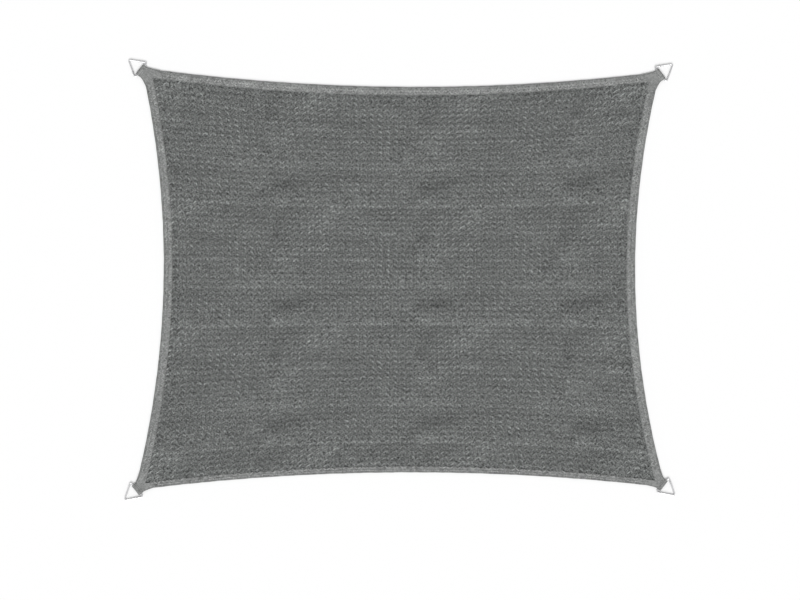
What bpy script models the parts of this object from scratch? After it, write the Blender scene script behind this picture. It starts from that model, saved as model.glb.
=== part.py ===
# Rectangular shade sail with hollow-cut edges, laid out flat on its underside.
# A knitted panel, a folded binding along each edge, and at each corner a
# webbing patch whose folded end holds a triangular wire ring.
# Metres, +Z up, long side along X, underside on z = 0.

import math
from collections import namedtuple

import bmesh
import bpy
from mathutils import Matrix, Vector
from mathutils.geometry import intersect_line_line

# Layers at the rim, from the underside up: leg, gap, cloth, gap, leg
CLOTH_THICKNESS = 0.0020
TAPE_THICKNESS = 0.0012
GAP = 0.0003
CLOTH_SEAT = TAPE_THICKNESS + GAP
STACK = 2 * CLOTH_SEAT + CLOTH_THICKNESS

# Where the edge curves meet, the middle of the webbing's folded end, and the
# directions in which the webbing and the ring point, in degrees from +X
Corner = namedtuple("Corner", "x y end_x end_y webbing_turn ring_turn")
CORNERS = {
    "top_left": Corner(-1.1827, 0.9722, -1.1938, 0.9678, 141.3, 140.2),
    "top_right": Corner(1.1945, 0.9536, 1.2030, 0.9478, 36.5, 39.6),
    "bottom_left": Corner(-1.2153, -0.9643, -1.2128, -0.9668, 218.3, 220.9),
    "bottom_right": Corner(1.2185, -0.9516, 1.2123, -0.9461, -37.7, -40.1),
}

# The panel's mesh lines: a few at set distances from each rim, then even steps.
# Steps are even in number, since a binding takes every second line.
PANEL_LENGTH = 2.40
PANEL_WIDTH = 1.92
RIM_LINES = (0.0, 0.046, 0.064, 0.084)
STEPS_ALONG = 34
STEPS_ACROSS = 38
TRIMMED_CORNER = 0.032

# Each edge is a parabola between two corners, drawn in by its hollow
Edge = namedtuple("Edge", "start end hollow binding_width span steps")
EDGES = {
    "top": Edge("top_left", "top_right", 0.0780, 0.038, PANEL_LENGTH, STEPS_ALONG),
    "bottom": Edge("bottom_left", "bottom_right", 0.0745, 0.026, PANEL_LENGTH, STEPS_ALONG),
    "left": Edge("bottom_left", "top_left", 0.1155, 0.040, PANEL_WIDTH, STEPS_ACROSS),
    "right": Edge("bottom_right", "top_right", 0.1262, 0.039, PANEL_WIDTH, STEPS_ACROSS),
}

# Soft ridges that the cloth keeps, repeated over the panel.
# Places run right and down from the first repeat's upper left corner.
RIDGE_REPEAT_X = 0.670
RIDGE_REPEAT_Y = 0.548
RIDGE_START_X = -0.593
RIDGE_START_Y = 0.498
Ridge = namedtuple("Ridge", "right down half_length half_width turn height")
RIDGES = (
    Ridge(0.083, 0.101, 0.210, 0.070, 3, 0.0035),
    Ridge(0.262, 0.188, 0.140, 0.060, 27, 0.0030),
    Ridge(0.046, 0.353, 0.120, 0.070, 0, 0.0025),
    Ridge(0.000, 0.473, 0.230, 0.055, 0, 0.0030),
    Ridge(0.450, 0.115, 0.140, 0.050, -3, 0.0020),
)
RIM_SLOPE_END = 0.115
RIDGE_FADE_START = 0.060
RIDGE_FADE_END = 0.160

# Triangular ring of round wire
WIRE_RADIUS = 0.00325
WIRE_BEVEL_RESOLUTION = 3
RING_SIDE = 0.088
RING_BEND = 0.006
BEND_STEPS = 4
BAR_FROM_END = 0.0092

# Corner webbing: a flat patch with a folded end round the ring's bar
CORNER_REACH = RIM_LINES[3]
WEBBING_THICKNESS = 0.0015
WEBBING_WIDTH = 0.055
NECK_LENGTH = 0.020
EYE_RADIUS = WIRE_RADIUS + GAP
EYE_LENGTH = 0.0135
EYE_END_STEPS = 6
LOOP_RADIUS = EYE_RADIUS + WEBBING_THICKNESS
NOSE_STEPS = 3
# The fold's top side between neck and nose: distance from its end, height
SHOULDER = ((0.0136, 0.0095), (0.0110, 2 * LOOP_RADIUS))
POCKET_CLEARANCE = 2 * GAP
POCKET_SIDE_REACH = 0.105
POCKET_DEPTH = 0.210


def smooth_step(value):
    value = min(max(value, 0.0), 1.0)
    return value * value * (3.0 - 2.0 * value)


def make_material(name, color, roughness, metallic=0.0):
    material = bpy.data.materials.new(name)
    material.use_nodes = True
    shader = material.node_tree.nodes["Principled BSDF"]
    shader.inputs["Base Color"].default_value = (*color, 1.0)
    shader.inputs["Roughness"].default_value = roughness
    shader.inputs["Metallic"].default_value = metallic
    return material


def add_object(name, data, material=None):
    thing = bpy.data.objects.new(name, data)
    bpy.context.scene.collection.objects.link(thing)
    if material:
        data.materials.append(material)
    return thing


def mesh_from_faces(name, points, faces):
    mesh = bpy.data.meshes.new(name)
    mesh.from_pydata(points, [], faces)
    shape = bmesh.new()
    shape.from_mesh(mesh)
    bmesh.ops.recalc_face_normals(shape, faces=shape.faces)
    shape.to_mesh(mesh)
    shape.free()
    return mesh


def mesh_from_rings(name, rings):
    # Equal rings of points joined into a tube, closed by a face at each end
    size = len(rings[0])
    points = [point for ring in rings for point in ring]
    faces = [tuple(range(size)), tuple(range(len(points) - size, len(points)))]
    for start in range(0, len(points) - size, size):
        for side in range(size):
            after = (side + 1) % size
            faces.append((start + side, start + after, start + size + after, start + size + side))
    return mesh_from_faces(name, points, faces)


def prism_rings(outline, bottom, top):
    return [[Vector((point.x, point.y, z)) for point in outline] for z in (bottom, top)]


def corner_point(name):
    return Vector((CORNERS[name].x, CORNERS[name].y, 0.0))


def edge_point(edge, share, inset=0.0):
    # Straight run between the corners, drawn inwards by hollow * 4 * s * (1 - s)
    start = corner_point(edge.start)
    chord = corner_point(edge.end) - start
    inward = Vector((-chord.y, chord.x, 0.0)).normalized()
    if inward.dot(start + chord / 2) > 0:
        inward.negate()
    drawn_in = edge.hollow * 4 * share * (1 - share) + inset
    return start + chord * share + inward * drawn_in


def edges_at(corner_name):
    return [edge for edge in EDGES.values() if corner_name in (edge.start, edge.end)]


def point_near_corner(edge, corner_name, distance, inset=0.0):
    share = distance / edge.span
    return edge_point(edge, share if edge.start == corner_name else 1 - share, inset)


def trimmed_corner(corner_name, distance):
    # A point this far from the meeting of the edge curves, between the two edges
    corner = corner_point(corner_name)
    middle = Vector()
    for edge in edges_at(corner_name):
        middle += (point_near_corner(edge, corner_name, RIM_LINES[1]) - corner).normalized()
    return corner + middle.normalized() * distance


def line_shares(span, steps):
    rim = [line / span for line in RIM_LINES]
    first = rim[-1]
    inner = [first + (1 - 2 * first) * step / steps for step in range(1, steps)]
    return rim + inner + [1 - share for share in reversed(rim)]


def ridge_height(x, y):
    total = 0.0
    for ridge in RIDGES:
        away_x = x - RIDGE_START_X - ridge.right + RIDGE_REPEAT_X / 2
        away_y = y - RIDGE_START_Y + ridge.down + RIDGE_REPEAT_Y / 2
        away = Vector((away_x % RIDGE_REPEAT_X - RIDGE_REPEAT_X / 2,
                       away_y % RIDGE_REPEAT_Y - RIDGE_REPEAT_Y / 2))
        away.rotate(Matrix.Rotation(math.radians(-ridge.turn), 2))
        spread = (away.x / ridge.half_length) ** 2 + (away.y / ridge.half_width) ** 2
        total += ridge.height * max(1.0 - spread, 0.0) ** 2
    return total


def panel_rise(point, s, t):
    # The cloth leaves the binding at its seat, slopes to the floor, then follows its ridges
    to_edge = min(min(s, 1 - s) * PANEL_LENGTH, min(t, 1 - t) * PANEL_WIDTH)
    slope = smooth_step((to_edge - RIM_LINES[1]) / (RIM_SLOPE_END - RIM_LINES[1]))
    fade = smooth_step((to_edge - RIDGE_FADE_START) / (RIDGE_FADE_END - RIDGE_FADE_START))
    return CLOTH_SEAT * (1 - slope) + ridge_height(point.x, point.y) * fade


def panel_point(s, t):
    # Blend of the four edge curves; points on the rim lie just inside the binding's fold
    level = {0.0: "bottom", 1.0: "top"}.get(t)
    side = {0.0: "left", 1.0: "right"}.get(s)
    if level and side:
        return trimmed_corner(level + "_" + side, TRIMMED_CORNER)
    if level:
        return edge_point(EDGES[level], s, CLOTH_SEAT)
    if side:
        return edge_point(EDGES[side], t, CLOTH_SEAT)
    across = edge_point(EDGES["bottom"], s).lerp(edge_point(EDGES["top"], s), t)
    along = edge_point(EDGES["left"], t).lerp(edge_point(EDGES["right"], t), s)
    low = corner_point("bottom_left").lerp(corner_point("bottom_right"), s)
    high = corner_point("top_left").lerp(corner_point("top_right"), s)
    return across + along - low.lerp(high, t)


def build_panel(material):
    columns = line_shares(PANEL_LENGTH, STEPS_ALONG)
    rows = line_shares(PANEL_WIDTH, STEPS_ACROSS)
    wide = len(columns)
    count = wide * len(rows)
    under = []
    for t in rows:
        for s in columns:
            point = panel_point(s, t)
            point.z = panel_rise(point, s, t)
            under.append(point)
    points = under + [point + Vector((0, 0, CLOTH_THICKNESS)) for point in under]
    faces = []
    for row in range(len(rows) - 1):
        for column in range(wide - 1):
            first = row * wide + column
            cell = (first, first + 1, first + wide + 1, first + wide)
            faces.append(cell[::-1])
            faces.append(tuple(index + count for index in cell))
    rim = list(range(wide))
    rim += [row * wide + wide - 1 for row in range(1, len(rows))]
    rim += [count - 1 - column for column in range(1, wide)]
    rim += [row * wide for row in range(len(rows) - 2, 0, -1)]
    for index, after in zip(rim, rim[1:] + rim[:1]):
        faces.append((index, after, after + count, index + count))
    mesh = mesh_from_faces("cloth_panel", points, faces)
    mesh.shade_smooth()
    mesh.set_sharp_from_angle(angle=math.radians(40))
    add_object("cloth_panel", mesh, material)


def build_binding(name, edge, material):
    # Tape folded over the cloth's edge: a U section carried along the edge curve
    shares = line_shares(edge.span, edge.steps)
    first = len(RIM_LINES) - 1
    last = first + edge.steps
    end_gap = GAP / edge.span
    stations = [shares[first] + end_gap] + shares[first + 2:last:2] + [shares[last] - end_gap]
    wall = TAPE_THICKNESS
    width = edge.binding_width
    section = ((0.0, 0.0), (0.0, STACK), (width, STACK), (width, STACK - wall),
               (wall, STACK - wall), (wall, wall), (width, wall), (width, 0.0))
    rings = []
    for share in stations:
        rings.append([edge_point(edge, share, inset) + Vector((0, 0, z)) for inset, z in section])
    add_object("binding_" + name, mesh_from_rings("binding_" + name, rings), material)


def webbing_outline(name, to_local):
    # Neck, flared sides out to the two bindings, and the inner corner between them
    sides = []
    for edge in edges_at(name):
        outer = point_near_corner(edge, name, CORNER_REACH)
        inner = point_near_corner(edge, name, CORNER_REACH, edge.binding_width)
        nearer = point_near_corner(edge, name, RIM_LINES[1], edge.binding_width)
        sides.append([to_local @ point for point in (outer, inner, nearer)])
    right, left = sorted(sides, key=lambda side: side[0].y)
    inner_corner = intersect_line_line(right[1], right[2], left[1], left[2])[0]
    half = WEBBING_WIDTH / 2
    neck = [Vector((-NECK_LENGTH, -half, 0)), Vector((-NECK_LENGTH, half, 0))]
    return neck + [left[0], left[1], inner_corner, right[1], right[0]]


def webbing_pocket(name, to_local):
    # The room left between the legs for the cloth's trimmed corner
    tip = trimmed_corner(name, TRIMMED_CORNER - POCKET_CLEARANCE)
    deep = trimmed_corner(name, POCKET_DEPTH)
    sides = []
    for edge in edges_at(name):
        near = point_near_corner(edge, name, RIM_LINES[1] - POCKET_CLEARANCE, TAPE_THICKNESS)
        far = point_near_corner(edge, name, POCKET_SIDE_REACH, TAPE_THICKNESS)
        sides.append((near, far))
    (near_a, far_a), (near_b, far_b) = sides
    return [to_local @ point for point in (tip, near_a, far_a, deep, far_b, near_b)]


def fold_profile():
    # Distance from the folded end, underside and top side, from the neck to near the end
    profile = [(away, 0.0, top) for away, top in SHOULDER]
    for step in range(NOSE_STEPS):
        bend = math.pi / 2 * step / NOSE_STEPS
        drop = LOOP_RADIUS * (1 - math.cos(bend))
        profile.append((LOOP_RADIUS * (1 - math.sin(bend)), drop, 2 * LOOP_RADIUS - drop))
    return profile


def webbing_mesh(name, outline):
    # A flat plate whose neck face is drawn out into the rounded, thicker fold
    half = WEBBING_WIDTH / 2
    points = [point for ring in prism_rings(outline, 0.0, STACK) for point in ring]
    size = len(outline)
    faces = [tuple(range(size)), tuple(range(size, 2 * size))]
    for side in range(1, size):
        after = (side + 1) % size
        faces.append((side, after, size + after, size + side))
    ring = (0, 1, size + 1, size)
    for away, low, high in fold_profile():
        fresh = range(len(points), len(points) + 4)
        points += [Vector((-away, -half, low)), Vector((-away, half, low)),
                   Vector((-away, half, high)), Vector((-away, -half, high))]
        for side in range(4):
            after = (side + 1) % 4
            faces.append((ring[side], ring[after], fresh[after], fresh[side]))
        ring = tuple(fresh)
    end = len(points)
    points += [Vector((0, -half, LOOP_RADIUS)), Vector((0, half, LOOP_RADIUS))]
    faces += [(ring[0], ring[1], end + 1, end), (ring[2], ring[3], end, end + 1),
              (ring[0], end, ring[3]), (ring[1], ring[2], end + 1)]
    return mesh_from_faces("webbing_" + name, points, faces)


def eye_rings():
    # Slot through the fold, with a round end towards the nose and one towards the neck
    reach = EYE_RADIUS / math.cos(math.pi / 2 / EYE_END_STEPS)
    section = []
    for middle, begin in ((LOOP_RADIUS, -90), (LOOP_RADIUS + EYE_LENGTH - 2 * EYE_RADIUS, 90)):
        for step in range(EYE_END_STEPS):
            bend = math.radians(begin + 180 * (step + 0.5) / EYE_END_STEPS)
            section.append((reach * math.cos(bend) - middle, LOOP_RADIUS + reach * math.sin(bend)))
    return [[Vector((u, v, z)) for u, z in section] for v in (-WEBBING_WIDTH, WEBBING_WIDTH)]


def cut(thing, name, rings):
    cutter = add_object(name, mesh_from_rings(name, rings))
    cutter.parent = thing
    cutter.hide_render = True
    cutter.display_type = "WIRE"
    modifier = thing.modifiers.new(name, "BOOLEAN")
    modifier.operation = "DIFFERENCE"
    modifier.object = cutter


def build_webbing(name, corner, material):
    place = (Matrix.Translation((corner.end_x, corner.end_y, 0.0))
             @ Matrix.Rotation(math.radians(corner.webbing_turn), 4, "Z"))
    to_local = place.inverted()
    webbing = add_object("webbing_" + name, webbing_mesh(name, webbing_outline(name, to_local)), material)
    webbing.matrix_world = place
    pocket = prism_rings(webbing_pocket(name, to_local), TAPE_THICKNESS, STACK - TAPE_THICKNESS)
    cut(webbing, "pocket_cutter_" + name, pocket)
    cut(webbing, "eye_cutter_" + name, eye_rings())


def ring_path():
    # Triangle with round bends, its bar on the local Y axis and its tip along local X
    height = RING_SIDE * math.sqrt(3) / 2
    bend_centre = 2 * height / 3 - 2 * RING_BEND
    path = []
    for turn in (0, 120, 240):
        outward = math.radians(turn)
        for step in range(BEND_STEPS + 1):
            bend = outward + math.radians(120 * step / BEND_STEPS - 60)
            path.append((height / 3 + bend_centre * math.cos(outward) + RING_BEND * math.cos(bend),
                         bend_centre * math.sin(outward) + RING_BEND * math.sin(bend), 0.0))
    return path


def build_ring(name, corner, material):
    # The bar lies in the webbing's eye and the tip droops to the floor
    curve = bpy.data.curves.new("ring_" + name, "CURVE")
    curve.dimensions = "3D"
    curve.bevel_depth = WIRE_RADIUS
    curve.bevel_resolution = WIRE_BEVEL_RESOLUTION
    path = ring_path()
    spline = curve.splines.new("POLY")
    spline.points.add(len(path) - 1)
    for point, place in zip(spline.points, path):
        point.co = (*place, 1.0)
    spline.use_cyclic_u = True
    spline.use_smooth = True
    ring = add_object("ring_" + name, curve, material)
    outward = Matrix.Rotation(math.radians(corner.webbing_turn), 3, "Z") @ Vector((1, 0, 0))
    ring.location = Vector((corner.end_x, corner.end_y, LOOP_RADIUS)) - outward * BAR_FROM_END
    droop = math.asin((LOOP_RADIUS - WIRE_RADIUS) / path[BEND_STEPS // 2][0])
    ring.rotation_euler = (0.0, droop, math.radians(corner.ring_turn))


def main():
    for thing in list(bpy.data.objects):
        bpy.data.objects.remove(thing, do_unlink=True)
    cloth = make_material("knitted cloth", (0.148, 0.153, 0.150), 0.85)
    tape = make_material("binding tape", (0.240, 0.244, 0.240), 0.75)
    steel = make_material("steel wire", (0.62, 0.62, 0.63), 0.30, 1.0)
    build_panel(cloth)
    for name, edge in EDGES.items():
        build_binding(name, edge, tape)
    for name, corner in CORNERS.items():
        build_webbing(name, corner, tape)
        build_ring(name, corner, steel)


main()
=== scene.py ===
import math

import bpy
import numpy as np
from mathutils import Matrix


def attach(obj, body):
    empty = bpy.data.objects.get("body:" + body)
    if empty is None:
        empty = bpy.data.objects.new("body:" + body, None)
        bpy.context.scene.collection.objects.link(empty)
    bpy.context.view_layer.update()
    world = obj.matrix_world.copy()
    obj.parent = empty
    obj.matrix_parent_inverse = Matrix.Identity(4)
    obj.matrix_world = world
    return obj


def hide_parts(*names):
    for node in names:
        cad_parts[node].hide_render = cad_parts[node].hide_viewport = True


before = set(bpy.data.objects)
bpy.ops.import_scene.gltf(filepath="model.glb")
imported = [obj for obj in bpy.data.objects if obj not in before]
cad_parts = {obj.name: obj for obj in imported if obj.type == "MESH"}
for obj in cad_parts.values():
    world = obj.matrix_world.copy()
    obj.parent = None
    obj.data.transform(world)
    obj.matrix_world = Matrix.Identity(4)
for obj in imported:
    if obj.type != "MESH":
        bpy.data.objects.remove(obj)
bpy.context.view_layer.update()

# A grey shade sail laid flat: knitted cloth, folded bindings, corner webbings and wire rings.
# All lengths are in metres, angles in degrees.

# Where the edge curves meet, the middle of the webbing's folded end, and the two turns from +X
corners = {
    "top_left": dict(at=(-1.1827, 0.9722), end=(-1.1938, 0.9678), webbingTurn=141.3, ringTurn=140.2),
    "top_right": dict(at=(1.1945, 0.9536), end=(1.2030, 0.9478), webbingTurn=36.5, ringTurn=39.6),
    "bottom_left": dict(at=(-1.2153, -0.9643), end=(-1.2128, -0.9668), webbingTurn=218.3, ringTurn=220.9),
    "bottom_right": dict(at=(1.2185, -0.9516), end=(1.2123, -0.9461), webbingTurn=-37.7, ringTurn=-40.1),
}

# Each edge is drawn in between its corners by its hollow. Its tape is painted darker along the fold as
# painted shade, is paler along a stripe by the glow, waves by the scallop along its cut edge and pales the
# knit beside it as painted light against the tape's shadow.
# Rows of zigzag sewing: middle and half height as shares of the tape's width, and pitch
edges = {
    "top": dict(start="top_left", end="top_right", hollow=0.0780, width=0.038, span=2.40,
                fold=0.12, cut=0.06, glow=0.15, glowAt=0.44, glowWidth=0.011, scallop=0.0006, shadowFill=0.0,
                rows=[(0.48, 0.20, 0.0165), (0.76, 0.12, 0.0235)]),
    "bottom": dict(start="bottom_left", end="bottom_right", hollow=0.0745, width=0.026, span=2.40,
                   fold=0.20, cut=0.00, glow=0.10, glowAt=0.62, glowWidth=0.006, scallop=0.0036, shadowFill=0.26,
                   rows=[(0.46, 0.07, 0.0180), (0.95, 0.20, 0.0353)]),
    "left": dict(start="bottom_left", end="top_left", hollow=0.1155, width=0.040, span=1.92,
                 fold=0.20, cut=0.06, glow=0.09, glowAt=0.76, glowWidth=0.012, scallop=0.0008, shadowFill=0.0,
                 rows=[(0.36, 0.10, 0.0205), (0.76, 0.18, 0.0230)]),
    "right": dict(start="bottom_right", end="top_right", hollow=0.1262, width=0.039, span=1.92,
                  fold=0.18, cut=0.06, glow=0.09, glowAt=0.74, glowWidth=0.012, scallop=0.0008, shadowFill=0.0,
                  rows=[(0.34, 0.10, 0.0205), (0.74, 0.18, 0.0250)]),
}

# Heights at the rim: top of the tape's lower leg, the cloth's underside, top of the tape
layers = dict(leg=0.0012, seat=0.0015, stack=0.0050)
# Along each edge from its corner: where the webbing begins to flare, and its far end
cornerReach = dict(near=0.046, far=0.084)
# In from the edge: where the cloth leaves its seat, where the ridges begin, their slopes, and the width of
# the painted light beside a tape
rim = dict(seatEnd=0.046, seatSlope=0.069, ridgeStart=0.060, ridgeSlope=0.100, shadowFillWidth=0.014)


def smoothStep(value):
    value = np.clip(value, 0.0, 1.0)
    return value * value * (3.0 - 2.0 * value)


def bell(value, middle, width):
    return np.exp(-((value - middle) / width) ** 2)


def stacked(*parts):
    # Arrays or numbers as the coordinates of points
    return np.stack(np.broadcast_arrays(*parts), axis=-1)


def lifted(plan, height):
    return stacked(plan[..., 0], plan[..., 1], height)


def unit(vectors):
    return vectors / np.linalg.norm(vectors, axis=-1, keepdims=True)


def softLimit(depth, softness):
    # Softness times the log of 1 + e^(depth / softness): unchanged well inside, never below nought
    return softness * np.logaddexp(0.0, depth / softness)


def turned(points, degrees):
    # Pairs turned about the origin
    x, y = points[..., 0], points[..., 1]
    turn = math.radians(degrees)
    return stacked(x * math.cos(turn) - y * math.sin(turn), x * math.sin(turn) + y * math.cos(turn))


def sweep(path, side, up, across, above):
    # A section carried along a path: its two offsets along the path's side and up directions
    return path[..., None, :] + side[..., None, :] * across[..., None] + up[..., None, :] * above[..., None]


def coons(start, finish, first, last, along, across, points):
    # Coons blend: the lofts between both pairs of facing curves, less the bilinear patch of the corners
    along = along[..., None]
    across = across[..., None]
    lofts = start * (1 - along) + finish * along + first * (1 - across) + last * across
    near = points[0] * (1 - across) + points[1] * across
    far = points[2] * (1 - across) + points[3] * across
    return lofts - near * (1 - along) - far * along


def cornerPoint(name):
    return np.array(corners[name]["at"])


def edgeAxes(edge):
    # The corner that it starts from, the chord to the other one, and the unit vector into the sail
    start = cornerPoint(edge["start"])
    chord = cornerPoint(edge["end"]) - start
    inward = unit(np.array([-chord[1], chord[0]]))
    if inward @ (start + chord / 2) > 0:
        inward = -inward
    return start, chord, inward


def edgeShare(edge, name, reach):
    # Share of the chord at a distance from one of its corners
    share = reach / edge["span"]
    return share if edge["start"] == name else 1 - share


def edgePoint(edge, share, inset):
    # Straight run between the corners plus (4 hollow s (1 - s) + inset) along the inward direction
    start, chord, inward = edgeAxes(edge)
    share = np.asarray(share, float)
    drawnIn = 4 * edge["hollow"] * share * (1 - share) + inset
    return start + share[..., None] * chord + drawnIn[..., None] * inward


def edgeDepth(edge, x, y):
    # Offset along the inward direction, less the hollow at that share of the chord
    start, chord, inward = edgeAxes(edge)
    away = stacked(x, y) - start
    share = away @ chord / (chord @ chord)
    return away @ inward - 4 * edge["hollow"] * share * (1 - share)


def rimDepth(x, y, tapes=0):
    # Distance inside the nearest edge, or inside the nearest tape's cut edge where tapes is 1
    return np.minimum.reduce([edgeDepth(edge, x, y) - tapes * edge["width"] for edge in edges.values()])


def cornerAxis(name):
    # Unit vector from the corner into the cloth, halfway between its two edges
    corner = cornerPoint(name)
    total = np.zeros(2)
    for edge in edges.values():
        if name in (edge["start"], edge["end"]):
            total += unit(edgePoint(edge, edgeShare(edge, name, cornerReach["near"]), 0.0) - corner)
    return corner, unit(total)


def keepInside(x, y, inset, trim, softness):
    # Points past the rim, or past each trimmed corner, are drawn back inside without folding over
    def drawBack(depth, inward):
        shift = softLimit(depth, softness) - depth
        return x + inward[0] * shift, y + inward[1] * shift

    for edge in edges.values():
        x, y = drawBack(edgeDepth(edge, x, y) - inset, edgeAxes(edge)[2])
    for name in corners:
        corner, axis = cornerAxis(name)
        x, y = drawBack((stacked(x, y) - corner) @ axis - trim, axis)
    return x, y


# The knit is laid out straight, in metres at the sail's middle, and bent so that its rows follow the edges
spread = dict(width=2.1638, height=1.7684)


def bend(u, v):
    # Coons blend of the four edge curves
    across, up = np.broadcast_arrays(0.5 + u / spread["width"], 0.5 + v / spread["height"])
    points = [cornerPoint(name) for name in ("bottom_left", "bottom_right", "top_left", "top_right")]
    plan = coons(edgePoint(edges["bottom"], across, 0.0), edgePoint(edges["top"], across, 0.0),
                 edgePoint(edges["left"], up, 0.0), edgePoint(edges["right"], up, 0.0), up, across, points)
    return plan[..., 0], plan[..., 1]


def features(*rows):
    # Rows of millimetres right and down from the repeat's upper left corner, half length and half width, then
    # the turn in degrees and the amount
    names = ("right", "down", "length", "width")
    return [dict(zip(names, np.array(row[:4]) / 1000), turn=row[4], amount=row[5]) for row in rows]


# The ridges repeat on the floor, the streaks of painted shade and light and the slants in the straight knit
ridgeRepeat = dict(pitch=(0.670, 0.548), start=(-0.593, 0.498))
knitRepeat = dict(pitch=(0.659, 0.5393), start=(-0.5833, 0.4901))

# Height of the soft ridges
ridges = features(
    (83, 101, 210, 70, 3, 0.0035),
    (262, 188, 140, 60, 27, 0.0030),
    (46, 353, 120, 70, 0, 0.0025),
    (0, 473, 230, 55, 0, 0.0030),
    (450, 115, 140, 50, -3, 0.0020),
)

# Painted shade and light on the knit for its soft waves: the dark bands and patches first, then the thin
# light lines and patches
shadeStreaks = features(
    (20, 70, 150, 42, 2, -0.17),
    (110, 62, 110, 40, 8, -0.17),
    (210, 34, 290, 28, 2, -0.12),
    (330, 13, 270, 26, 0, -0.09),
    (5, 293, 100, 30, 0, -0.27),
    (20, 222, 150, 70, 15, -0.13),
    (120, 176, 130, 18, 3, -0.18),
    (520, 174, 190, 16, 0, -0.12),
    (530, 205, 170, 45, 0, -0.09),
    (320, 310, 340, 22, 0, -0.13),
    (370, 328, 110, 24, 0, -0.08),
    (390, 385, 310, 16, 0, -0.16),
    (180, 425, 60, 22, 0, -0.06),
    (340, 432, 100, 22, 0, -0.13),
    (610, 432, 70, 34, 0, -0.09),
    (620, 385, 60, 22, 0, -0.12),
    (610, 115, 100, 20, 0, -0.10),
    (630, 345, 60, 30, 0, -0.08),
    (30, 138, 90, 34, 0, 0.24),
    (155, 147, 110, 16, 0, 0.16),
    (280, 176, 85, 36, 10, 0.18),
    (222, 236, 110, 46, 22, 0.15),
    (480, 147, 115, 20, 0, 0.17),
    (330, 147, 420, 13, 0, 0.27),
    (600, 78, 50, 24, 0, 0.12),
    (400, 68, 110, 30, 14, 0.09),
    (235, 347, 85, 14, 0, 0.29),
    (110, 362, 90, 24, 14, 0.12),
    (40, 402, 100, 16, 0, 0.28),
    (390, 398, 100, 13, 0, 0.33),
    (60, 440, 90, 36, 0, 0.11),
    (80, 515, 180, 26, 0, 0.22),
    (540, 518, 180, 26, 0, 0.19),
    (620, 478, 90, 30, 0, 0.09),
    (510, 445, 85, 40, -35, 0.11),
    (540, 276, 70, 16, 0, 0.21),
    (430, 262, 80, 30, 10, 0.10),
)

# Where the stitches lean: above nought the legs that rise to the right catch the light, through their lean
# and through painted light on those legs
slants = features(
    (200, 235, 260, 140, 31, 0.8),
    (380, 75, 200, 85, -25, -1.1),
    (480, 330, 230, 75, -28, -1.1),
    (540, 215, 140, 60, 20, 0.6),
    (160, 360, 170, 50, 20, 0.6),
    (530, 440, 120, 70, -30, -1.1),
)


def repeatSum(parts, repeat, x, y, stepped=False):
    # Sum over the features of amount * max(1 - (along / length)^2 - (across / width)^2, 0)^2, in wrapped
    # coordinates; stepped ones stop at the repeat's border
    right = np.mod(x - repeat["start"][0], repeat["pitch"][0])
    down = np.mod(repeat["start"][1] - y, repeat["pitch"][1])
    total = np.zeros_like(x)
    for part in parts:
        away = stacked(right - part["right"], part["down"] - down)
        if not stepped:
            away = away - repeat["pitch"] * np.round(away / repeat["pitch"])
        along, across = np.moveaxis(turned(away, -part["turn"]), -1, 0)
        reach = (along / part["length"]) ** 2 + (across / part["width"]) ** 2
        total += part["amount"] * np.maximum(1 - reach, 0) ** 2
    return total


def clothRise(x, y):
    # Height of the cloth's underside: its seat in the binding, sloping to the floor, plus the soft ridges
    toEdge = rimDepth(x, y)
    seated = 1 - smoothStep((toEdge - rim["seatEnd"]) / rim["seatSlope"])
    free = smoothStep((toEdge - rim["ridgeStart"]) / rim["ridgeSlope"])
    return layers["seat"] * seated + repeatSum(ridges, ridgeRepeat, x, y) * free


def clothShade(u, v, x, y):
    # The repeat's streaks of painted shade and light, and the strip just inside a tape painted paler against
    # the tape's shadow
    shade = repeatSum(shadeStreaks, knitRepeat, u, v, stepped=True)
    # Painted light: the knit just inside a tape is made paler where the tape's shadow falls on it
    for edge in edges.values():
        past = (edgeDepth(edge, x, y) - edge["width"]) / rim["shadowFillWidth"]
        shade += edge["shadowFill"] * (1 - smoothStep(past))
    return shade


# Meshes from whole arrays

def gridFaces(rows, columns, wrapRows=False, wrapColumns=False):
    # Quads of a grid of points numbered row by row; without wrapping, the last row and column are left off
    index = np.arange(rows * columns).reshape(rows, columns)
    above = np.roll(index, -1, axis=0)
    quads = stacked(index, np.roll(index, -1, axis=1), np.roll(above, -1, axis=1), above)
    return quads[:rows - 1 + wrapRows, :columns - 1 + wrapColumns].reshape(-1, 4)


def shellFaces(rows, columns):
    # Two equal grids, the first outside and the second inside, joined round their rims
    count = rows * columns
    outer = gridFaces(rows, columns)
    index = np.arange(count).reshape(rows, columns)
    border = np.concatenate([index[0, :-1], index[:-1, -1], index[-1, :0:-1], index[:0:-1, 0]])
    after = np.roll(border, -1)
    walls = stacked(after, border, border + count, after + count)
    return np.concatenate([outer, outer[:, ::-1] + count, walls])


def tubeFaces(rings, sides):
    # Quads round a tube of an even number of sides, and across both of its ends
    strip = np.arange(sides // 2 - 1)
    cap = stacked(strip, strip + 1, sides - 2 - strip, sides - 1 - strip)
    around = gridFaces(rings, sides, wrapColumns=True)
    return np.concatenate([around, cap[:, ::-1], cap + (rings - 1) * sides])


def yarnFaces(rings):
    # Triangles of one closed tube of three sides
    body = np.arange(rings * 3).reshape(rings, 3)
    after = np.roll(body, -1, axis=1)
    first = stacked(body[:-1], after[:-1], after[1:]).reshape(-1, 3)
    second = stacked(body[:-1], after[1:], body[1:]).reshape(-1, 3)
    return np.concatenate([first, second, [body[0, ::-1], body[-1]]])


def repeatFaces(faces, count):
    # The same faces for each of many equal tubes
    first = np.arange(count) * (faces.max() + 1)
    return (faces[None] + first[:, None, None]).reshape(-1, faces.shape[1])


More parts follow.
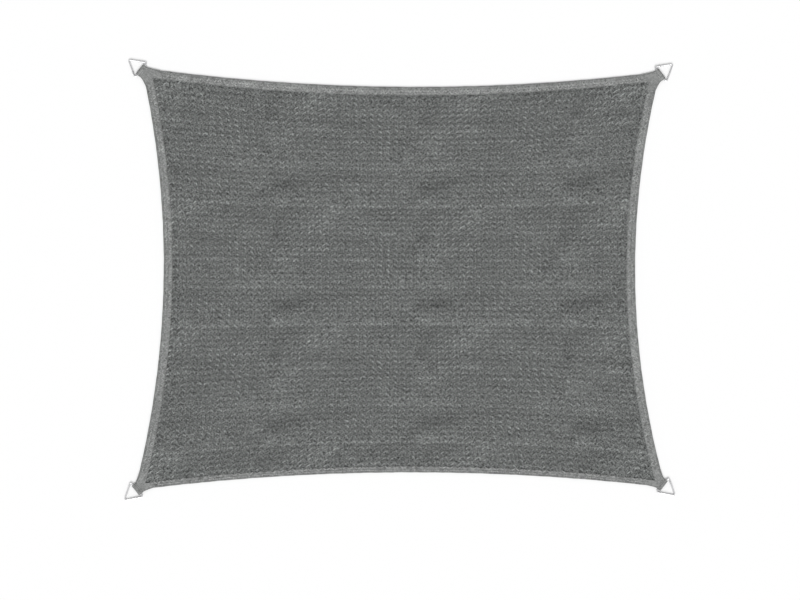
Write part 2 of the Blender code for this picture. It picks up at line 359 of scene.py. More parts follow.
def facesOut(points, faces):
    # A closed mesh whose signed volume is negative is turned round
    volume = 0.0
    for corner in range(1, faces.shape[1] - 1):
        crossed = np.cross(points[faces[:, corner]], points[faces[:, corner + 1]])
        volume += np.einsum("ij,ij->", points[faces[:, 0]], crossed)
    return faces if volume > 0 else faces[:, ::-1]


def addToScene(name, data):
    thing = bpy.data.objects.new(name, data)
    bpy.context.scene.collection.objects.link(thing)
    return thing


def addPiece(name, points, faces, finish, uv, tone, node=None, sharp=None):
    # Fills a mesh from arrays; the UV pairs and the tones are spread over all the points
    uv = np.broadcast_to(uv, (*points.shape[:-1], 2)).reshape(-1, 2)
    tone = np.broadcast_to(tone, points.shape[:-1]).ravel()
    points = np.ascontiguousarray(points.reshape(-1, 3), dtype=np.float32)
    faces = facesOut(points, faces)
    mesh = bpy.data.meshes.new(name)
    mesh.vertices.add(len(points))
    mesh.vertices.foreach_set("co", points.ravel())
    mesh.loops.add(faces.size)
    mesh.loops.foreach_set("vertex_index", faces.ravel().astype(np.int32))
    mesh.polygons.add(len(faces))
    mesh.polygons.foreach_set("loop_start", np.arange(0, faces.size, faces.shape[1], dtype=np.int32))
    mesh.uv_layers.new(name="way").data.foreach_set("uv", uv[faces.ravel()].astype(np.float32).ravel())
    mesh.attributes.new("tone", "FLOAT", "POINT").data.foreach_set("value", tone.astype(np.float32))
    mesh.update(calc_edges=True)
    mesh.validate()
    mesh.shade_smooth()
    if sharp:
        mesh.set_sharp_from_angle(angle=math.radians(sharp))
    mesh.materials.append(materials[finish])
    piece = addToScene(name, mesh)
    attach(piece, "root")
    if node:
        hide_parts(node)
    return piece


# Shader nodes and the groups that several materials share

def addNode(tree, kind, settings=None, **values):
    # One node; values go to its input sockets by name, or by number as i0, i1 and i2, and a socket is linked
    node = tree.nodes.new("ShaderNode" + kind)
    for label, value in (settings or {}).items():
        setattr(node, label, value)
    for label, value in values.items():
        socket = node.inputs[int(label[1:]) if label[1:].isdigit() else label.replace("_", " ")]
        if isinstance(value, bpy.types.NodeSocket):
            tree.links.new(value, socket)
        else:
            socket.default_value = value
    return node


def mathNode(tree, operation, first, second=0.0, third=0.0):
    return addNode(tree, "Math", {"operation": operation}, i0=first, i1=second, i2=third).outputs[0]


def useGroup(tree, group, **values):
    return addNode(tree, "Group", {"node_tree": group}, **values).outputs[0]


def newGroup(name, output, vector, *floats):
    # A group of one vector input and several float inputs, with one float output
    group = bpy.data.node_groups.new(name, "ShaderNodeTree")
    group.interface.new_socket(vector, in_out="INPUT", socket_type="NodeSocketVector")
    for label in floats:
        group.interface.new_socket(label, in_out="INPUT", socket_type="NodeSocketFloat")
    group.interface.new_socket(output, in_out="OUTPUT", socket_type="NodeSocketFloat")
    return group, group.nodes.new("NodeGroupInput").outputs, group.nodes.new("NodeGroupOutput").inputs[0]


def makeWearGroup():
    # Faded and dusty patches over a plain colour: 1 + both noises about nought, each times its amount
    group, given, result = newGroup("weathered", "Factor", "Point", "Patch Size", "Amount", "Speck Size",
                                    "Speck Amount")
    total = 1.0
    for size, amount, detail, roughness in (("Patch Size", "Amount", 5.0, 0.6),
                                            ("Speck Size", "Speck Amount", 2.0, 0.5)):
        noise = addNode(group, "TexNoise", Vector=given["Point"], Scale=given[size],
                        Detail=detail, Roughness=roughness)
        swing = mathNode(group, "SUBTRACT", noise.outputs[0], 0.5)
        total = mathNode(group, "MULTIPLY_ADD", swing, given[amount], total)
    group.links.new(total, result)
    return group


def makeStrandGroup():
    # Fine strands that run along a yarn or thread: ripples over V, roughened by noise
    group, given, result = newGroup("strands", "Height", "Way", "Strands", "Twist", "Fuzz")
    apart = addNode(group, "SeparateXYZ", Vector=given["Way"])
    twisted = mathNode(group, "MULTIPLY_ADD", apart.outputs[0], given["Twist"], apart.outputs[1])
    ripple = mathNode(group, "SINE", mathNode(group, "MULTIPLY", twisted, given["Strands"]))
    fuzz = addNode(group, "TexNoise", Vector=given["Way"], Scale=900.0, Detail=2.0)
    rough = mathNode(group, "MULTIPLY", fuzz.outputs[0], given["Fuzz"])
    group.links.new(mathNode(group, "MULTIPLY_ADD", ripple, 0.5, rough), result)
    return group


def makeWeaveGroup():
    # Plain weave: two crossed sets of ripples, each on top in turn
    group, given, result = newGroup("tapeWeave", "Height", "Way", "Picks", "Ends")
    apart = addNode(group, "SeparateXYZ", Vector=given["Way"])
    pick = mathNode(group, "SINE", mathNode(group, "MULTIPLY", apart.outputs[0], given["Picks"]))
    end = mathNode(group, "SINE", mathNode(group, "MULTIPLY", apart.outputs[1], given["Ends"]))
    crossed = mathNode(group, "MULTIPLY", pick, end)
    ribs = mathNode(group, "MULTIPLY", mathNode(group, "ABSOLUTE", end), 0.6)
    group.links.new(mathNode(group, "ADD", crossed, ribs), result)
    return group


wearGroup = makeWearGroup()
strandGroup = makeStrandGroup()
weaveGroup = makeWeaveGroup()

# Each finish: its slot in the record, its colour and gloss, its wear as patch size and amount and speck size
# and amount, and the height of its pattern
finishes = dict(
    knit_yarn=dict(slot="knitted_cloth", color=(0.232, 0.242, 0.237), roughness=0.62, specular=0.30,
                   wear=(2.5, 0.05, 160.0, 2.8), bump=0.00018),
    # knit_ground is darker than the yarn: painted shade for the depths between the stitches
    knit_ground=dict(slot="knitted_cloth", color=(0.127, 0.132, 0.129), roughness=0.80, specular=0.25,
                     wear=(2.5, 0.08, 160.0, 4.2), bump=0.00030),
    binding_tape=dict(slot="binding_tape", color=(0.206, 0.212, 0.208), roughness=0.70, specular=0.30,
                      sheen=0.08, wear=(9.0, 0.22, 105.0, 2.3), bump=0.00022),
    corner_webbing=dict(slot="webbing", color=(0.230, 0.235, 0.231), roughness=0.70, specular=0.30,
                        sheen=0.08, wear=(9.0, 0.22, 110.0, 1.5), bump=0.00022),
    sewing_thread=dict(slot="binding_tape", color=(0.350, 0.356, 0.351), roughness=0.55, specular=0.35,
                       sheen=0.10, wear=(12.0, 0.15, 900.0, 0.2), bump=0.00025),
    steel_wire=dict(slot="steel_wire", color=(0.75, 0.75, 0.76), roughness=0.32, specular=0.50,
                    metallic=1.0, wear=(60.0, 0.25, 900.0, 0.15), bump=0.00006),
)

# The knit's pitch, place and unevenness; a drift is the heights of two slow sines and the first one's swing
knit = dict(wale=0.034684, course=0.024514, offX=0.0120, offY=-0.0110, inset=0.0035, softness=0.0025, seed=11,
            columns=36, rows=40, shiftX=0.0008, shiftY=0.0016, heightSpread=0.07, lean=0.10, leanSpread=0.10,
            slantLean=0.34, slantHeight=0.18, waleDrift=(0.0008, 0.0006, 1.7),
            courseDrift=(0.0022, 0.0016, 2.1), cornerRoom=0.006, pressed=0.55, pressOverlap=0.001,
            pressSlope=0.010, darkest=0.4, palest=2.0)

# The knit behind the waves: two pillars to a wale and one row to a course, each a soft stripe
behind = dict(pillarTone=0.04, pillarPhase=241, rowTone=0.055, rowPhase=95)


materials = {}


def plainMaterial(name, finish):
    material = bpy.data.materials.new(name)
    material.use_nodes = True
    material.diffuse_color = (*finish["color"], 1.0)
    shader = material.node_tree.nodes["Principled BSDF"]
    values = {"Base Color": material.diffuse_color, "Roughness": finish["roughness"],
              "Metallic": finish.get("metallic", 0.0), "Specular IOR Level": finish["specular"],
              "Sheen Weight": finish.get("sheen", 0.0), "Sheen Roughness": 0.5}
    for label, value in values.items():
        shader.inputs[label].default_value = value
    return material, material.node_tree, shader


def startMaterial(name):
    # The finish, with the point, the way along the piece and the wear that its pattern reads
    patchSize, patchAmount, speckSize, speckAmount = finishes[name]["wear"]
    materials[name], tree, shader = plainMaterial(name, finishes[name])
    point = addNode(tree, "TexCoord").outputs["Object"]
    way = addNode(tree, "UVMap", {"uv_map": "way"}).outputs[0]
    wear = useGroup(tree, wearGroup, Point=point, Patch_Size=patchSize, Amount=patchAmount,
                    Speck_Size=speckSize, Speck_Amount=speckAmount)
    return tree, shader, point, way, wear


def tintBy(tree, shader, name, factor):
    # The finish's colour times the piece's tone and a factor that changes over the surface
    tone = addNode(tree, "Attribute", {"attribute_name": "tone"}).outputs["Fac"]
    tint = addNode(tree, "VectorMath", {"operation": "SCALE"}, Vector=finishes[name]["color"],
                   Scale=mathNode(tree, "MULTIPLY", tone, factor))
    tree.links.new(tint.outputs[0], shader.inputs["Base Color"])


def bumpBy(tree, shader, name, height):
    bump = addNode(tree, "Bump", Height=height, Distance=finishes[name]["bump"], Strength=1.0)
    tree.links.new(bump.outputs[0], shader.inputs["Normal"])


def makeStrandMaterial(name, strands, twist, fuzz):
    # Flat knitting yarn or twisted sewing thread: each stitch has its own tone
    tree, shader, point, way, wear = startMaterial(name)
    tintBy(tree, shader, name, wear)
    bumpBy(tree, shader, name, useGroup(tree, strandGroup, Way=way, Strands=strands, Twist=twist, Fuzz=fuzz))


def stripes(tree, place, turns, phase, start, tone, base):
    # Base + tone * sin(2 pi turns (place - start) + 90 - phase)
    rate = 2 * math.pi * turns
    turn = mathNode(tree, "MULTIPLY_ADD", place, rate, math.radians(90 - phase) - rate * start)
    return mathNode(tree, "MULTIPLY_ADD", mathNode(tree, "SINE", turn), tone, base)


def makeGroundMaterial(name, picks):
    # The inner layer of the knit, seen between the stitches, its colour darkened as painted shade between
    # them
    tree, shader, point, way, wear = startMaterial(name)
    apart = addNode(tree, "SeparateXYZ", Vector=way)
    pillars = stripes(tree, apart.outputs[0], 2 / knit["wale"], behind["pillarPhase"], knit["offX"],
                      behind["pillarTone"], wear)
    rows = stripes(tree, apart.outputs[1], 1 / knit["course"], behind["rowPhase"], knit["offY"],
                   behind["rowTone"], pillars)
    tintBy(tree, shader, name, rows)
    bumpBy(tree, shader, name, useGroup(tree, weaveGroup, Way=point, Picks=picks, Ends=picks))


def makeTapeMaterial(name, picks, ends, shading):
    # Woven tape: its weave shades it a little as well as roughening it
    tree, shader, point, way, wear = startMaterial(name)
    weave = useGroup(tree, weaveGroup, Way=way, Picks=picks, Ends=ends)
    tintBy(tree, shader, name, mathNode(tree, "MULTIPLY_ADD", weave, shading, wear))
    bumpBy(tree, shader, name, weave)


def makeSteelMaterial(name, roughest, polish, drawLines):
    # Satin wire: fine draw lines along its length and faint dull patches
    tree, shader, point, way, wear = startMaterial(name)
    tintBy(tree, shader, name, wear)
    tree.links.new(mathNode(tree, "MULTIPLY_ADD", wear, -polish, roughest), shader.inputs["Roughness"])
    drawn = addNode(tree, "Mapping", Vector=way, Scale=drawLines)
    lines = addNode(tree, "TexNoise", Vector=drawn.outputs[0], Scale=1.0, Detail=3.0)
    bumpBy(tree, shader, name, lines.outputs[0])


makeStrandMaterial("knit_yarn", strands=22.0, twist=0.0, fuzz=0.5)
makeGroundMaterial("knit_ground", picks=1250.0)
makeTapeMaterial("binding_tape", picks=1500.0, ends=2100.0, shading=0.05)
makeTapeMaterial("corner_webbing", picks=1300.0, ends=1600.0, shading=0.05)
makeStrandMaterial("sewing_thread", strands=9.0, twist=260.0, fuzz=0.3)
makeSteelMaterial("steel_wire", roughest=0.66, polish=0.30, drawLines=(30.0, 900.0, 1.0))
print("stage: materials made")


# The cloth: a thin ground sheet
ground = dict(columns=110, rows=88, low=0.0002, thickness=0.0008, inset=0.0020, trim=0.034, softness=0.0012,
              sharp=40)


def buildGround():
    # A grid bent to the edges and set on the cloth's height, and the same grid a thickness above it
    u, v = np.meshgrid(spread["width"] * np.linspace(-0.5, 0.5, ground["columns"]),
                       spread["height"] * np.linspace(-0.5, 0.5, ground["rows"]))
    x, y = keepInside(*bend(u, v), ground["inset"], ground["trim"], ground["softness"])
    under = stacked(x, y, clothRise(x, y) + ground["low"])
    over = under + np.array([0, 0, ground["thickness"]])
    return addPiece("knit_ground", np.stack([over, under]), shellFaces(ground["rows"], ground["columns"]),
                    "knit_ground", stacked(u, v), 1 + clothShade(u, v, x, y), "cloth_panel", ground["sharp"])


groundSheet = buildGround()
print("stage: ground sheet made")


# The knit: yarn laid in waves along each course, tied down over its peaks by a chain up each wale
# The wave's slant values paint one leg of each wave lighter than the other, painted light, and its trough
# value paints the troughs darker, painted shade
wave = dict(height=0.0136, arch=1.12, width=0.0047, thickness=0.0012, level=0.0017, steps=12, bands=4,
            paintedLegLight=0.32, slantBias=-0.34, slantSpread=0.25, toneSpread=0.04, tone=1.125, troughShade=0.22,
            turnTone=0.34, turnPhase=145)
chain = dict(width=0.0034, headWidth=0.0080, thickness=0.0011, level=0.0014, rise=0.0013, headX=0.0034,
             headLean=0.014, steps=7, bands=3, toneSpread=0.06, tone=0.51, headTone=1.12, headSpread=0.08)


def spreadStitches():
    # Every crossing of a wale and a course inside the rim, with its own height, lean and shift
    columns = np.arange(-knit["columns"], knit["columns"] + 1)
    rows = np.arange(-knit["rows"], knit["rows"] + 1)
    x, y = np.meshgrid(columns * knit["wale"] + knit["offX"], rows * knit["course"] + knit["offY"])
    kept = rimDepth(*bend(x, y)) > knit["inset"]
    x = x[kept][:, None]
    y = y[kept][:, None]
    draws = np.random.default_rng(knit["seed"]).standard_normal((4, len(x), 1))
    slant = repeatSum(slants, knitRepeat, x, y)
    height = wave["height"] * (1 + knit["heightSpread"] * draws[0] + knit["slantHeight"] * np.abs(slant))
    lean = knit["lean"] + knit["leanSpread"] * draws[1] + knit["slantLean"] * slant
    return dict(x=x, y=y, slant=slant, height=height, peakX=knit["shiftX"] * draws[2] + lean * height,
                peakY=knit["shiftY"] * draws[3])


def drift(u, v):
    # The slow unevenness of the wales and courses: two sines each, which repeat as the streaks do
    turnU = 2 * np.pi * u / knitRepeat["pitch"][0]
    turnV = 2 * np.pi * v / knitRepeat["pitch"][1]
    slow, quick, swing = knit["waleDrift"]
    driftU = slow * np.sin(2 * turnV + swing * np.sin(turnU)) + quick * np.sin(3 * turnU + 4 * turnV)
    slow, quick, swing = knit["courseDrift"]
    driftV = slow * np.sin(5 * turnU + swing * np.sin(turnV)) + quick * np.sin(4 * turnU - 3 * turnV)
    return u + driftU, v + driftV


def wavePaths(stitch, rng):
    # One wale's width: y follows sin(pi s) to a power, so the peak is round; the lean moves the peak
    s = np.linspace(0, 1, wave["steps"] + 1)[None, :]
    arch = np.sin(np.pi * s) ** wave["arch"]
    window = np.sin(np.pi * s) ** 2
    u = stitch["x"] + knit["wale"] * (s - 0.5) + window * stitch["peakX"]
    v = stitch["y"] - wave["height"] / 2 + arch * stitch["height"] + window * stitch["peakY"]
    draws = rng.standard_normal((2, len(u), 1))
    # Painted light: by the slant, one leg of each wave is painted lighter and the other darker
    side = (stitch["slant"] + wave["slantBias"] + wave["slantSpread"] * draws[0]) * np.sin(2 * np.pi * s)
    tone = wave["tone"] * np.exp(wave["toneSpread"] * draws[1]) * (1 + wave["paintedLegLight"] * side)
    tone = tone * (1 + wave["turnTone"] * np.cos(4 * np.pi * s - math.radians(wave["turnPhase"])))
    # Painted shade: darker towards the troughs at both ends of each wave
    tone = tone * (1 - wave["troughShade"] * (1 - window))
    return u, v, np.full_like(u, wave["level"]), tone, np.full_like(s, wave["width"])


def chainPaths(stitch, rng):
    # One course's height: z and width swell by sin(pi s) squared over the wave's peak, where x leans
    s = np.linspace(0, 1, chain["steps"] + 1)[None, :]
    window = np.sin(np.pi * s) ** 2
    u = stitch["x"] + window * (stitch["peakX"] + chain["headX"] - chain["headLean"] * (s - 0.5))
    v = (stitch["y"] + wave["height"] / 2 + knit["course"] * (s - 0.5)
         + window * (stitch["height"] - wave["height"] + stitch["peakY"]))
    lift = chain["level"] + chain["rise"] * window * np.ones_like(u)
    draws = rng.standard_normal((2, len(u), 1))
    head = chain["headTone"] * (1 + chain["headSpread"] * draws[1])
    tone = chain["tone"] * np.exp(chain["toneSpread"] * draws[0]) * (1 + head * window ** 2)
    return u, v, lift, tone, chain["width"] + (chain["headWidth"] - chain["width"]) * window ** 2


def yarnTube(x, y, z, halfWidth, halfThickness):
    # A low three-sided section carried along each path, flat side down, level across its width
    path = stacked(x, y, z)
    tangent = np.gradient(path, axis=1)
    side = unit(stacked(-tangent[..., 1], tangent[..., 0], 0.0))
    up = unit(np.cross(tangent, side))
    across = np.array([-1.0, 0.0, 1.0])
    above = np.array([-1.0, 1.0, -1.0])
    return sweep(path, side, up, halfWidth[..., None] * across, halfThickness * above), across


def buildYarns(name, makePaths, yarn, stitch, seed):
    # Sets the paths on the cloth's height, pressed flat under the tapes, and adds them as a few pieces
    rng = np.random.default_rng(seed)
    u, v, lift, tone, width = makePaths(stitch, rng)
    u, v = drift(u, v)
    x, y = keepInside(*bend(u, v), knit["inset"] + yarn["width"] / 2, ground["trim"] + knit["cornerRoom"],
                      knit["softness"])
    free = smoothStep((rimDepth(x, y, tapes=1) + knit["pressOverlap"]) / knit["pressSlope"])
    z = clothRise(x, y) + lift * (knit["pressed"] + (1 - knit["pressed"]) * free)
    points, across = yarnTube(x, y, z, width / 2, yarn["thickness"] / 2)
    shade = np.clip(tone * (1 + clothShade(u, v, x, y)), knit["darkest"], knit["palest"])
    count, rings = x.shape
    uv = stacked(np.linspace(0, knit["wale"], rings)[:, None] + rng.random((count, 1, 1)), across)
    pieces = []
    for band, chosen in enumerate(np.array_split(np.arange(count), yarn["bands"])):
        faces = repeatFaces(yarnFaces(rings), len(chosen))
        pieces.append(addPiece(f"{name}_{band}", points[chosen], faces, "knit_yarn", uv[chosen],
                               shade[chosen, :, None]))
    print("stage:", name, "made,", count, "stitches")
    return pieces


stitches = spreadStitches()
knitPieces = buildYarns("knit_waves", wavePaths, wave, stitches, 12)
knitPieces += buildYarns("knit_chains", chainPaths, chain, stitches, 13)


# Bindings: tape folded over each edge, dented along its sewing and tucked under the webbings at its ends
binding = dict(stations=300, legSteps=8, foldSteps=7, tuck=0.010, tuckUp=0.0003, tuckDown=0.0002,
               topSlope=0.001, seamDip=0.00030, seamWidth=0.0022, seamSwing=0.4, outerSeam=0.0065,
               pucker=0.00018, puckerSwing=(1.3, 9.1), puckerWaves=[(0.7, 61.0, 0.0)], cutSwing=(1.0, 7.0),
               wobble=0.00025, wobbleWaves=[(1.0, 37.0, 0.0), (1.0, 83.0, 1.0)], foldShadeAt=0.0045,
               foldShadeWidth=0.0035, cutWidth=0.003, patchTone=0.05, patchSwing=(23.0, 4.0, 5.0), sharp=60)


def tapeSection(width):
    # The middle line of a U lying on its side, then its wall on either side: inset and height
    half = layers["stack"] / 2
    wall = layers["leg"] / 2
    radius = half - wall
    run = np.linspace(width, half, binding["legSteps"])
    turn = np.radians(np.linspace(-90, -270, binding["foldSteps"] + 2)[1:-1])
    inset = np.concatenate([run, half + radius * np.cos(turn), run[::-1]])
    height = np.concatenate([np.full_like(run, wall), half + radius * np.sin(turn),
                             np.full_like(run, layers["stack"] - wall)])
    offset = unit(stacked(np.gradient(height), -np.gradient(inset))) * wall
    middle = stacked(inset, height)
    return middle + offset, (middle - offset)[::-1]


def uneven(length, turns, swing, swingTurns):
    # A sine along the tape whose phase swings slowly, so that no two waves match; turns in radians a metre
    return np.sin(turns * length + swing * np.sin(swingTurns * length))


def waves(length, parts):
    # A sum of sines along the tape, each given by its height, turns and phase
    return sum(height * np.sin(turns * length + phase) for height, turns, phase in parts)


def buildBinding(name, edge):
    # The section carried along the edge curve; dents, puckers and wobbles are added to height and inset
    width = edge["width"]
    outer, inner = tapeSection(width)
    section = np.concatenate([outer, inner])
    first = (cornerReach["far"] - binding["tuck"]) / edge["span"]
    share = np.linspace(first, 1 - first, binding["stations"])[:, None]
    length = share * np.linalg.norm(edgeAxes(edge)[1])
    inset = np.broadcast_to(section[:, 0], (len(share), len(section)))
    height = np.broadcast_to(section[:, 1], inset.shape).copy()
    topSide = np.clip((height - layers["stack"] / 2) / binding["topSlope"], 0, 1)
    zigzagMiddle, _, pitch = edge["rows"][1]
    turns = 2 * np.pi / pitch
    for line in (binding["outerSeam"], zigzagMiddle * width):
        groove = 1 - binding["seamSwing"] + binding["seamSwing"] * np.cos(turns * length)
        height -= topSide * (bell(inset, line, binding["seamWidth"]) * groove) * binding["seamDip"]
    free = smoothStep(inset / width)
    ripple = uneven(length, turns, *binding["puckerSwing"]) + waves(length, binding["puckerWaves"])
    height += topSide * free * binding["pucker"] * ripple
    tucked = smoothStep(1 - np.minimum(share - first, 1 - first - share) * edge["span"] / binding["tuck"])
    height += tucked * ((1 - topSide) * binding["tuckUp"] - topSide * binding["tuckDown"])
    wobble = binding["wobble"] * waves(length, binding["wobbleWaves"]) * (1 - free)
    wobble += edge["scallop"] * (inset / width) ** 4 * uneven(length, turns, *binding["cutSwing"])
    points = lifted(edgePoint(edge, share, inset + wobble), height)

    # Painted shade along the fold, where the tape turns over; a paler stripe by the glow; darker towards the
    # cut edge
    fold = bell(inset, binding["foldShadeAt"], binding["foldShadeWidth"])
    glow = bell(inset, edge["glowAt"] * width, edge["glowWidth"])
    cut = smoothStep((inset - width + binding["cutWidth"]) / binding["cutWidth"])
    tone = 1 - edge["fold"] * fold + edge["glow"] * glow - edge["cut"] * cut
    tone = tone * (1 + binding["patchTone"] * uneven(length, *binding["patchSwing"]))
    arc = np.cumsum(np.linalg.norm(np.gradient(outer, axis=0), axis=-1))
    uv = stacked(length, np.concatenate([arc, arc[::-1]]))
    addPiece("tape_" + name, points, tubeFaces(*inset.shape), "binding_tape", uv, tone, "binding_" + name,
             binding["sharp"])


# Sewing: each stitch is a short thread that rises and dips back into the tape
sewing = dict(steps=5, sides=6, lift=0.0011, roundness=0.6, sink=0.0012, thinEnd=0.35, toneSpread=0.20,
              sinkPower=8, foldPitch=0.012, foldRadius=0.0010, foldGap=0.12, bed=0.0002, onCloth=0.0024,
              zigzagRadius=(0.0023, 0.0021), zigzagGap=0.06, zigzagSpread=0.25)


def threadStitches(starts, ends, radius):
    # Straight from start to end, lifted by a sine to a power, its radius drawn in at both ends
    q = np.linspace(0, 1, sewing["steps"] + 1)[None, :, None]
    path = starts[:, None] * (1 - q) + ends[:, None] * q
    path[..., 2] += sewing["lift"] * np.sin(np.pi * q[..., 0]) ** sewing["roundness"]
    path[..., 2] -= sewing["sink"] * np.abs(2 * q[..., 0] - 1) ** sewing["sinkPower"]
    tangent = ends - starts
    side = unit(stacked(-tangent[:, 1], tangent[:, 0], 0.0))
    angle = np.arange(sewing["sides"]) * 2 * np.pi / sewing["sides"]
    full = np.sqrt(np.sin(np.pi * np.clip(q[..., 0], 0.02, 0.98)))
    thick = radius * (sewing["thinEnd"] + (1 - sewing["thinEnd"]) * full)[..., None]
    points = sweep(path, side[:, None], np.array([0, 0, 1.0]), np.cos(angle) * thick, np.sin(angle) * thick)
    return points, stacked(q * np.linalg.norm(tangent, axis=-1)[:, None, None], angle)


def addSeam(name, threads, radius, seed):
    # All the stitches of a row as one piece, each with its own tone
    rng = np.random.default_rng(seed)
    points, uv = threadStitches(*threads, radius)
    count, rings, sides, _ = points.shape
    tone = 1 + sewing["toneSpread"] * rng.standard_normal((count, 1, 1))
    addPiece(name, points, repeatFaces(tubeFaces(rings, sides), count), "sewing_thread", uv, tone)


def stitchEnds(plan, height, gap):
    # From each point of a row to the next, less a share of the way at both ends
    row = lifted(plan, height)
    trim = (row[1:] - row[:-1]) * gap
    return row[:-1] + trim, row[1:] - trim


def buildEdgeSeams(name, edge, seed):
    # A straight row by the fold, then the zigzag rows towards the tape's inner edge
    first = cornerReach["far"] / edge["span"]
    run = (1 - 2 * first) * np.linalg.norm(edgeAxes(edge)[1])
    share = np.linspace(first, 1 - first, int(run / sewing["foldPitch"]) + 1)
    plan = edgePoint(edge, share, binding["outerSeam"])
    threads = stitchEnds(plan, layers["stack"] - sewing["bed"], sewing["foldGap"])
    addSeam("stitches_fold_" + name, threads, sewing["foldRadius"], seed)
    rng = np.random.default_rng(seed + 1)
    for number, (middle, swing, pitch) in enumerate(edge["rows"]):
        count = 2 * int(run / pitch) + 1
        swings = swing * (1 + sewing["zigzagSpread"] * rng.standard_normal(count))
        inset = edge["width"] * (middle + np.where(np.arange(count) % 2 == 0, swings, -swings))
        plan = edgePoint(edge, np.linspace(first, 1 - first, count), inset)
        height = np.where(inset < edge["width"], layers["stack"], layers["seat"] + sewing["onCloth"])
        threads = stitchEnds(plan, height, sewing["zigzagGap"])
        radius = sewing["zigzagRadius"][number]
        addSeam(f"stitches_zigzag_{name}_{number}", threads, radius, seed + 2 + number)


for seed, (name, edge) in enumerate(edges.items()):
    buildBinding(name, edge)
    buildEdgeSeams(name, edge, 20 + 4 * seed)
print("stage: bindings sewn")


# Corner webbings: a strip folded round the ring's bar, flared over the corner
webbing = dict(width=0.055, neck=0.020, shoulder=0.0095, wall=0.0015, loop=0.00505, proud=0.0006,
               pull=0.02, pullTo=-0.05, across=45, noseSteps=14, neckSteps=8, patchSteps=26,
               rib=0.00016, ribs=9, ribTone=0.15, edgeRound=0.0004, edgePower=12, sideShade=0.30,
               sideWidth=0.09, endShade=0.34, endWidth=0.0045, floorGap=0.00002, sharp=50)


def cornerToWorld(name, local):
    # Local x points outwards from the fold's end; y is across it
    return corners[name]["end"] + turned(local, corners[name]["webbingTurn"])


def worldToCorner(name, points):
    return turned(points - corners[name]["end"], -corners[name]["webbingTurn"])


def patchBorders(name):
    # For the edge on either side of the corner, in local points: where the webbing ends and where it begins
    # to flare on the edge curve, and the same two places on the tape's inner edge
    sides = []
    for edge in edges.values():
        if name in (edge["start"], edge["end"]):
            reaches = cornerReach["far"], cornerReach["near"]
            sides.append([worldToCorner(name, edgePoint(edge, edgeShare(edge, name, reach), inset))
                          for inset in (0.0, edge["width"]) for reach in reaches])
    return sorted(sides, key=lambda side: side[0][1])


def crossing(a, b, c, d):
    # Where the line a-b meets the line c-d
    return a + (b - a) * np.linalg.solve(stacked(b - a, c - d), c - a)[0]


def patchPlan(name, a, b):
    # Coons blend of the neck line, both flared sides and the bent inner border; a in, b across
    pull = np.array([webbing["pullTo"], 0.0])
    a, b = np.broadcast_arrays(a, b)
    share = a[..., None]
    necks = []
    flares = []
    borders = patchBorders(name)
    for (outer, onEdge, inner, nearer), side in zip(borders, (-0.5, 0.5)):
        # a parabola from the neck to the border, its middle point drawn a little into the cloth
        neck = np.array([-webbing["neck"], side * webbing["width"]])
        middle = 0.5 * (onEdge + neck) + webbing["pull"] * (pull - onEdge)
        necks.append(neck)
        flares.append(neck * (1 - share) ** 2 + 2 * middle * share * (1 - share) + outer * share ** 2)
    (outerR, _, innerR, nearR), (outerL, _, innerL, nearL) = borders
    border = np.array([outerR, innerR, crossing(innerR, nearR, innerL, nearL), innerL, outerL])
    stops = np.linspace(0, 1, len(border))
    far = stacked(np.interp(b, stops, border[:, 0]), np.interp(b, stops, border[:, 1]))
    near = necks[0] * (1 - b[..., None]) + necks[1] * b[..., None]
    return coons(near, far, *flares, a, b, (*necks, outerR, outerL))


def foldLine():
    # Middle line of the strip from the lower neck, round the nose, to the upper neck: distance in, height
    wall = webbing["wall"] / 2
    loop = webbing["loop"]
    neck = webbing["neck"]
    turn = np.radians(np.linspace(-90, 90, webbing["noseSteps"]))
    noseIn = loop - (loop - wall) * np.cos(turn)
    noseUp = loop + (loop - wall) * np.sin(turn)
    run = np.linspace(neck, loop, webbing["neckSteps"])[:-1]
    raised = smoothStep((neck - run[::-1]) / (neck - webbing["shoulder"]))
    level = layers["stack"] + webbing["proud"] - wall
    upper = level + (2 * loop - wall - level) * raised
    return np.concatenate([run, noseIn, run[::-1]]), np.concatenate([np.full_like(run, wall), noseUp, upper])


